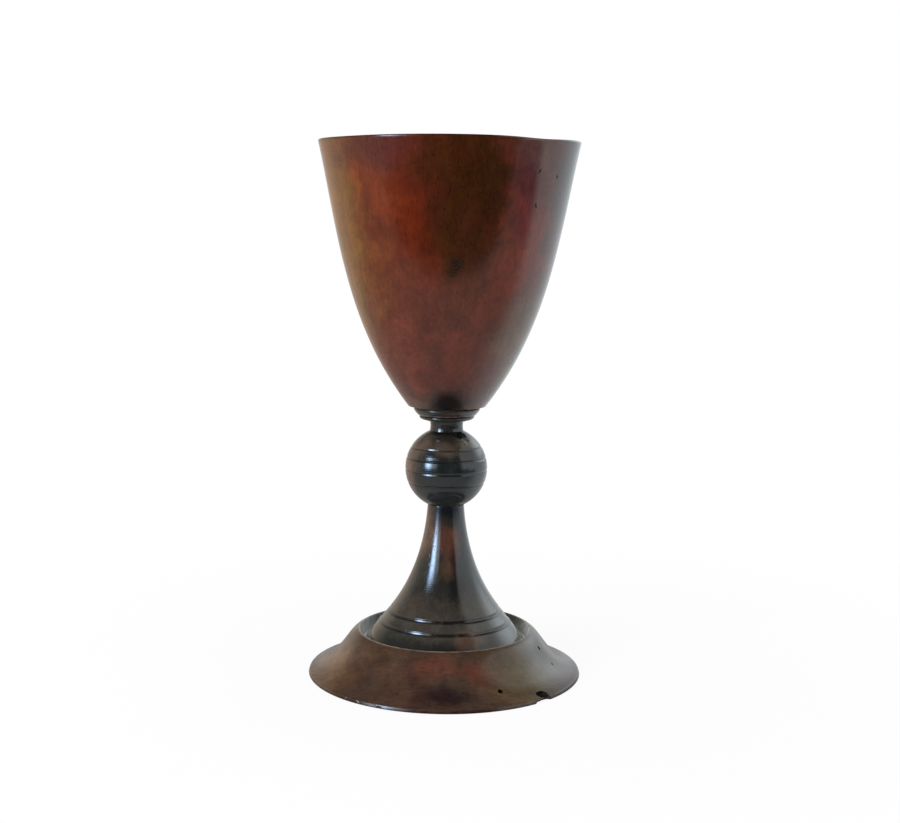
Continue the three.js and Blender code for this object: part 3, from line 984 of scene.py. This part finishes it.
def bowl_wood():
    """Red-brown wood, golden at the left, darker in front partly by painted shade, with painted shade
    under the heel.
    """
    patches = (
        colour_patch(-72, 42, 160, (26, 36, 62), (110, 70, 15), 0.95),
        colour_patch(-39, 42, 177, (14, 12, 18), (112, 48, 20), 0.85),
        colour_patch(-26, 40, 160, (15, 16, 28), (93, 33, 12), 0.9),
        colour_patch(-29, 42.3, 171, (8, 8, 9), (116, 48, 14), 0.75),
        colour_patch(39, 45.5, 188, (8, 8, 10), (118, 78, 60), 0.7),
        colour_patch(-28, 44, 188, (30, 24, 12), (82, 39, 34), 0.85),
        colour_patch(42, 40, 157, (16, 16, 26), (135, 57, 36), 0.9),
        # Darker brown in front, partly the wood's tone and partly painted shade.
        colour_patch(9, 41, 174, (19, 20, 46), (61, 32, 9), 0.95),
        colour_patch(-5, 42, 172, (8, 8, 12), (64, 30, 14), 0.7),
        colour_patch(4, 37, 148, (4, 4, 4), (40, 24, 16), 0.6),
        colour_patch(0, 0, 98, (40, 40, 12), (86, 66, 54), 0.85),
        # Painted shade and dark reflection of the collar, nearly black, under the heel in front.
        colour_patch(1, 17, 99.5, (10.5, 11, 8.5), (16, 12, 12), 1.0, 0.5),
        colour_patch(68, 44, 176, (11, 15, 36), (66, 62, 63), 0.85),
        colour_patch(62, 28, 118, (12, 16, 30), (108, 80, 54), 0.8),
        colour_patch(-12, 25, 112, (6, 8, 16), (74, 36, 30), 0.6),
        colour_patch(150, 41, 160, (20, 20, 26), (104, 44, 24), 0.8),
        colour_patch(-140, 36, 140, (18, 18, 22), (118, 76, 44), 0.7),
        colour_patch(95, 42, 172, (16, 16, 16), (62, 34, 24), 0.8),
    )
    rings = (
        Ring(RIM_RADIUS - LIP_STAIN_INSET, RIM_HEIGHT, 0.8 * MM, linear(44, 22, 17), 0.85),
        # Painted shade round the heel, darkest at the seat on the collar.
        Ring(BOWL_SEAT_RADIUS, COLLAR_TOP, 3.5 * MM, linear(40, 30, 28), 0.85),
    )
    tones = ((79, 32, 19), (91, 40, 26), (101, 48, 33))
    return wood("bowl_wood", tones, patches, rings, UPRIGHT_GRAIN, Gloss(0.1, 0.16, 1.6), "BANDS")


def foot_wood():
    """Brown wood, redder in front, with a painted pale highlight along the crest and painted shade along
    the lower edge.
    """
    patches = (
        colour_patch(-4, 37, 11, (11, 10, 5), (100, 61, 51), 0.7),
        colour_patch(20, 38, 10, (9, 9, 5), (104, 58, 47), 0.7),
        colour_patch(0, 43.2, 3.9, (18, 6, 2.9), (40, 25, 26), 0.95),
        colour_patch(-60, 46, 3, (12, 10, 5), (96, 72, 52), 0.7),
        colour_patch(46, 42, 7, (16, 16, 12), (98, 83, 60), 0.9),
        colour_patch(-75, 44, 6, (16, 20, 12), (112, 90, 68), 0.8),
        colour_patch(170, 40, 8, (18, 14, 8), (100, 60, 46), 0.7),
    )
    # A painted highlight along the crest, and painted shade on the foot's lower edge.
    rings = (
        Ring(CREST_RADIUS, CREST_HEIGHT, 0.7 * MM, linear(146, 132, 116), 0.6),
        Ring(FOOT_RADIUS, 0, 1.5 * MM, linear(36, 20, 16), 0.95),
    )
    tones = ((60, 43, 36), (70, 52, 41), (82, 62, 48))
    return wood("foot_wood", tones, patches, rings, LEVEL_GRAIN, Gloss(0.15, 0.25, 1.54), "RINGS")


def dark_wood(name, patches, rings):
    """Nearly black wood of the three middle turnings."""
    tones = ((28, 31, 31), (37, 39, 38), (47, 48, 45))
    return wood(name, tones, patches, rings, UPRIGHT_GRAIN, Gloss(0.08, 0.15, 1.68), "BANDS")


def stem_groove_shade():
    """Painted shade in the stem's incised lines, set a little below their middle."""
    trumpet = stem_trumpet()
    heights = [RECESS_FLOOR + height for height in STEM_GROOVE_HEIGHTS]
    return [Ring(profile_radius(trumpet, z), z - STEM_SHADE_DROP, 1.0 * MM, DIRT_AND_SHADE, 0.9) for z in heights]


def stem_wood():
    """Dark wood, worn red-brown above, dull brown below, with painted dark reflection streaks in front,
    painted shadow under the knop and on the toe in front, and pale dust at both sides of the toe painted
    lighter against the recess's shade.
    """
    toe = (CREST_HEIGHT - TOE_DROP) / MM
    patches = (
        colour_patch(-70, 8, 52, (6, 7, 12), (94, 74, 62), 0.9),
        colour_patch(6, 8.5, 50.5, (6, 6, 7), (95, 60, 46), 0.95),
        colour_patch(4, 9.5, 41.5, (4, 4.5, 6.5), (84, 64, 51), 0.75),
        # Painted dark reflection: a narrow streak down the front.
        colour_patch(19, 9.5, 42, (1.6, 3, 9), (34, 24, 26), 0.75, 1.0),
        # Painted shadow on the stem's top under the knop.
        colour_patch(12, 6.5, 60.5, (6, 5, 3.5), (22, 24, 32), 0.85, 0.8),
        # Painted dark reflection: the same streak lower down.
        colour_patch(20, 13, 30, (4, 5, 12), (20, 20, 26), 0.9, 1.0),
        colour_patch(-38, 18, 26, (4, 4, 5), (80, 54, 46), 0.7),
        colour_patch(0, 0, 23, (90, 90, 9), (64, 63, 58), 0.9),
        # Painted shadow on the toe in front, down in the recess.
        colour_patch(0, 27, toe, (40, 18, 4.5), (33, 34, 32), 0.85, 0.5),
        colour_patch(20, 25, 17.5, (8, 8, 5), (100, 76, 64), 0.8),
        # Pale dust at both sides of the toe, painted lighter against the recess's shade.
        colour_patch(-97, 28, toe, (8, 13, 3), (142, 142, 132), 0.9, 0.5),
        colour_patch(97, 28, toe, (8, 13, 3), (142, 142, 134), 0.9, 0.5),
        colour_patch(170, 12, 40, (6, 6, 12), (84, 50, 40), 0.7),
    )
    return dark_wood("stem_wood", patches, stem_groove_shade())


def knop_groove_rings():
    """Dark rings in the knop's turned lines, and a wider one round the neck of dirt and painted shade."""
    rings = []
    for latitude in KNOP_GROOVE_LATITUDES:
        angle = math.radians(latitude)
        radius, height = KNOP_RADIUS * math.cos(angle), KNOP_CENTRE + KNOP_RADIUS * math.sin(angle)
        rings.append(Ring(radius, height, 0.5 * MM, DIRT_AND_SHADE, 0.7))
    # Round the neck: dirt, and painted shade where the neck meets the ball.
    return rings + [Ring(NECK_RADIUS, KNOP_TOP, 2.4 * MM, DIRT_AND_SHADE, 0.9)]


def knop_wood():
    """Dark wood, painted with the bluish cast of window light in front, brown at the top and the left,
    with a pale patch by the chip.
    """
    patches = (
        # Painted bluish cast of the window light on the lower front.
        colour_patch(10, 14, 71, (15, 12, 12), (26, 36, 40), 0.8),
        colour_patch(-50, 11, 84, (7, 7, 5), (92, 78, 68), 0.8),
        colour_patch(20, 10, 86, (9, 9, 3), (46, 40, 37), 0.7),
        colour_patch(2, 12.3, 83.3, (8, 6, 3.2), (84, 72, 62), 0.8, 1.0),
        colour_patch(-70, 14, 75, (6, 8, 10), (100, 80, 72), 0.85),
        # Pale patch by the chip: broken wood and a painted highlight.
        colour_patch(46, 10.5, 86, (4.5, 4.5, 3.5), (104, 98, 86), 0.8, 1.0),
    )
    return dark_wood("knop_wood", patches, knop_groove_rings())


def collar_wood():
    """Dark wood with a painted highlight along the top of its upper ring, another just above the seam
    under that ring, and a dark seam of dirt and painted shade.
    """
    patches = (colour_patch(10, 11, 95, (6, 4, 1.5), (70, 48, 46), 0.6),)
    seam = KNOP_TOP + NECK_HEIGHT + LOWER_RING_HEIGHT
    highlight_radius = UPPER_RING_RADIUS - UPPER_RING_BEVEL * SEAM_HIGHLIGHT_SHARE
    # Painted highlights where the ring's top and lower edge catch light, then dirt and painted shade in
    # the seam between the rings.
    rings = (
        Ring(UPPER_RING_RADIUS - RING_QUIRK, COLLAR_TOP, 0.5 * MM, linear(150, 142, 134), 0.8),
        Ring(highlight_radius, seam + SEAM_HIGHLIGHT_RISE, 0.35 * MM, linear(108, 92, 90), 0.7),
        Ring(UPPER_RING_RADIUS - UPPER_RING_BEVEL, seam, 0.4 * MM, DIRT_AND_SHADE, 0.9),
    )
    return dark_wood("collar_wood", patches, rings)


def bare_wood(name, dark, light, scale):
    """Rough unpolished wood inside chips and worm holes; some of its uses are painted shade or glints."""
    material, nodes, coords = start_material(name)
    fibres = nodes.noise(nodes.vector("MULTIPLY", coords, BARE_GRAIN), scale, *BARE_DETAIL)
    colour = nodes.ramp(fibres, GAIN_STOPS, (linear(*dark), linear(*light)))
    inputs = {"Base Color": colour, "Roughness": BARE_ROUGHNESS}
    finish_surface(nodes, fibres, BARE_STRENGTH, BARE_DEPTH, inputs)
    return material


def recess_wood():
    """Wall round the stem's toe: pale dust painted lighter against the recess's shade, darker towards the
    back.
    """
    material, nodes, coords = start_material("recess_wood")
    streaks = nodes.noise(nodes.vector("MULTIPLY", coords, RECESS_GRAIN), RECESS_SCALE, *BARE_DETAIL)
    # Near white: pale dust painted lighter against the shade of the recess.
    pale = nodes.ramp(streaks, GAIN_STOPS, (linear(162, 167, 163), linear(246, 250, 248)))
    darker_back = nodes.ramp(streaks, GAIN_STOPS, (linear(70, 72, 67), linear(150, 152, 146)))
    colour = nodes.mix(nodes.step(nodes.parts(coords)["Y"], *RECESS_BACK_RANGE), pale, darker_back)
    inputs = {"Base Color": colour, "Roughness": RECESS_ROUGHNESS}
    finish_surface(nodes, streaks, RECESS_STRENGTH, RECESS_RELIEF, inputs)
    return material


def line_recess(foot):
    """Gives the recess's wall and floor a material of their own."""
    foot.data.materials.append(recess_wood())
    limit = CREST_RADIUS - FOOT_CREST_ROUND * CREST_POLISH_SHARE
    for face in foot.data.polygons:
        in_recess = math.hypot(face.center.x, face.center.y) < limit
        if in_recess and face.center.z > RECESS_FLOOR - EASED_ARRIS:
            face.material_index = 1


def lump(shapes, scar, tilt, seed):
    """Adds a ragged closed lump to the cutting shapes, half sunk into the surface at a scar."""
    centre = polar(scar.azimuth, scar.radius, scar.height)
    sideways = polar(scar.azimuth + 90, 1, 0)
    outward = Matrix.Rotation(math.radians(-tilt), 3, sideways) @ polar(scar.azimuth, 1, 0)
    turned = Matrix.Rotation(math.radians(scar.lean), 3, outward)
    across = turned @ sideways
    along = outward.cross(across)
    made = bmesh.ops.create_icosphere(shapes, subdivisions=LUMP_DIVISIONS, radius=1.0)
    for vertex in made["verts"]:
        unit = vertex.co.copy()
        ragged = 1 + RAGGED * noise.noise(unit * RAGGED_SCALE + Vector((seed, 0, 0)))
        vertex.co = centre + ragged * (
            across * unit.x * scar.across + along * unit.y * scar.along + outward * unit.z * scar.deep
        )


def scar_shapes(scars, tilt, inside):
    """One cutting object with a lump for each scar."""
    shapes = bmesh.new()
    for index, scar in enumerate(scars):
        lump(shapes, scar, tilt, SEED_STEP * index)
    mesh = bpy.data.meshes.new("scar_shapes")
    shapes.to_mesh(mesh)
    shapes.free()
    mesh.materials.append(inside)
    return put_in_scene("scar_shapes", mesh)


def carve(piece, tilt, inside, *scars):
    """Cuts ragged scars into a piece and lines them with another material."""
    cutter = scar_shapes(scars, tilt, inside)
    cut = piece.modifiers.new("scars", "BOOLEAN")
    cut.object = cutter
    cut.operation = "DIFFERENCE"
    cut.solver = "EXACT"
    cut.material_mode = "TRANSFER"
    depsgraph = bpy.context.evaluated_depsgraph_get()
    carved = bpy.data.meshes.new_from_object(piece.evaluated_get(depsgraph))
    piece.modifiers.clear()
    piece.data = carved
    bpy.data.objects.remove(cutter)


def scar_bowl(bowl, hole_dust_and_shade):
    """Worm slits, a shallow dent in front, a hole at the back and a place filled long ago."""
    outside = bowl_outside()
    old_filler = bare_wood("old_filler", (46, 56, 48), (78, 90, 82), 900.0)
    carve(
        bowl, BOWL_TILT, hole_dust_and_shade,
        worm_hole(outside, 42.9, 179.3, 0.6, 1.5, 1.2, -12),
        worm_hole(outside, 56, 177.8, 0.6, 1.5, 1.2, -8),
        worm_hole(outside, 3.6, 148.9, 3, 0.7, 0.3, 15),
        worm_hole(outside, 5.4, 147.6, 0.8, 2, 0.3, -20),
        worm_hole(outside, 160, 150, 1.2, 1.4, 1.5),
    )
    carve(bowl, BOWL_TILT, old_filler, worm_hole(outside, 43.8, 168.3, 1, 2.2, 0.3, 24))


def scar_foot(foot, hole_dust_and_shade):
    """Worm holes in the foot's flare, and breaks and nicks along its edge."""
    flare = foot_flare()
    dull_break = bare_wood("dull_break", (34, 28, 25), (78, 64, 54), 700.0)
    fresh_break_and_glint = bare_wood("fresh_break_and_glint", (70, 62, 55), (168, 160, 150), 2200.0)
    carve(
        foot, FLARE_TILT, hole_dust_and_shade,
        worm_hole(flare, 27, 4.44, 1.9, 1.7, 2.6),
        worm_hole(flare, 71.4, 11.85, 1.2, 1.5, 2.2),
        worm_hole(flare, 73.2, 6.1, 0.8, 1, 1.2),
        worm_hole(flare, -150, 7, 1.7, 1.7, 2.4),
    )
    # A dark cavity behind the broken notch, lined with painted shade.
    carve(foot, EDGE_TILT, hole_dust_and_shade, chip(46, 47.4, 2.1, 2.6, 1.5, 2.2))
    carve(
        foot, EDGE_TILT, dull_break,
        chip(45, 50, 0.1, 4.4, 1.7, 2.4),
        chip(-26.5, 49.4, 0.6, 1.2, 0.5, 0.6),
        chip(-34.5, 49.4, 0.6, 0.6, 0.5, 0.6),
        chip(-40.5, 49.4, 0.6, 0.6, 0.5, 0.6),
    )
    # Pale nicks along the edge: fresh breaks painted as glints.
    carve(
        foot, EDGE_TILT, fresh_break_and_glint,
        chip(-29, 49.2, 1, 1.2, 0.28, 0.4, 12),
        chip(-36.5, 49.2, 1, 0.8, 0.28, 0.4, -25),
        chip(-43, 49.2, 1, 0.7, 0.28, 0.4, 30),
    )


def scar_knop(knop, hole_dust_and_shade):
    """The broken mouth of the knop's bore with pale splinters, and a chip at its lower seam."""
    pale_break = bare_wood("pale_break", (74, 66, 57), (152, 140, 124), 1500.0)
    carve(
        knop, SHOULDER_TILT, hole_dust_and_shade,
        chip(40, 7.4, 88, 2.8, 2.1, 2.2),
        chip(52, 7.2, 62.2, 1.6, 0.6, 0.8),
    )
    carve(
        knop, SHOULDER_TILT, pale_break,
        chip(36, 10.2, 85.9, 0.7, 2.2, 0.6, 20),
        chip(50, 9.6, 86.3, 0.6, 1.6, 0.5, -10),
    )


# Studio.
place_camera()
bpy.context.scene.view_settings.view_transform = "Standard"
light_world()
lay_floor()
for lamp in LAMPS:
    hang_lamp(lamp)

# Turnings.
foot = turn("goblet_foot", foot_profile(), LARGE_TURNS, foot_wood())
stem = turn("goblet_stem", stem_profile(), SMALL_TURNS, stem_wood())
knop = turn("goblet_knop", knop_profile(), SMALL_TURNS, knop_wood(), closed=True)
collar = turn("goblet_collar", collar_profile(), SMALL_TURNS, collar_wood())
bowl = turn("goblet_bowl", bowl_profile(), LARGE_TURNS, bowl_wood())

# Dust and wear, and painted light and shade in the recess, holes and chips.
line_recess(foot)
warp_lip(bowl)
# Near-black lining of holes and cavities: dust, and painted shade deep inside them.
hole_dust_and_shade = bare_wood("hole_dust_and_shade", (13, 9, 8), (32, 23, 19), 900.0)
scar_bowl(bowl, hole_dust_and_shade)
scar_foot(foot, hole_dust_and_shade)
scar_knop(knop, hole_dust_and_shade)

# Places in the frame.
for piece, node, slot in (
    (foot, "foot", "foot_wood"),
    (stem, "trumpet_stem", "stem_wood"),
    (knop, "ball_knop", "knop_wood"),
    (collar, "collar", "collar_wood"),
    (bowl, "bowl", "bowl_wood"),
):
    piece.data.shade_smooth()
    piece.data.set_sharp_from_angle(angle=math.radians(SHARP_ANGLE))
    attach(piece, "root")
    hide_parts(node)
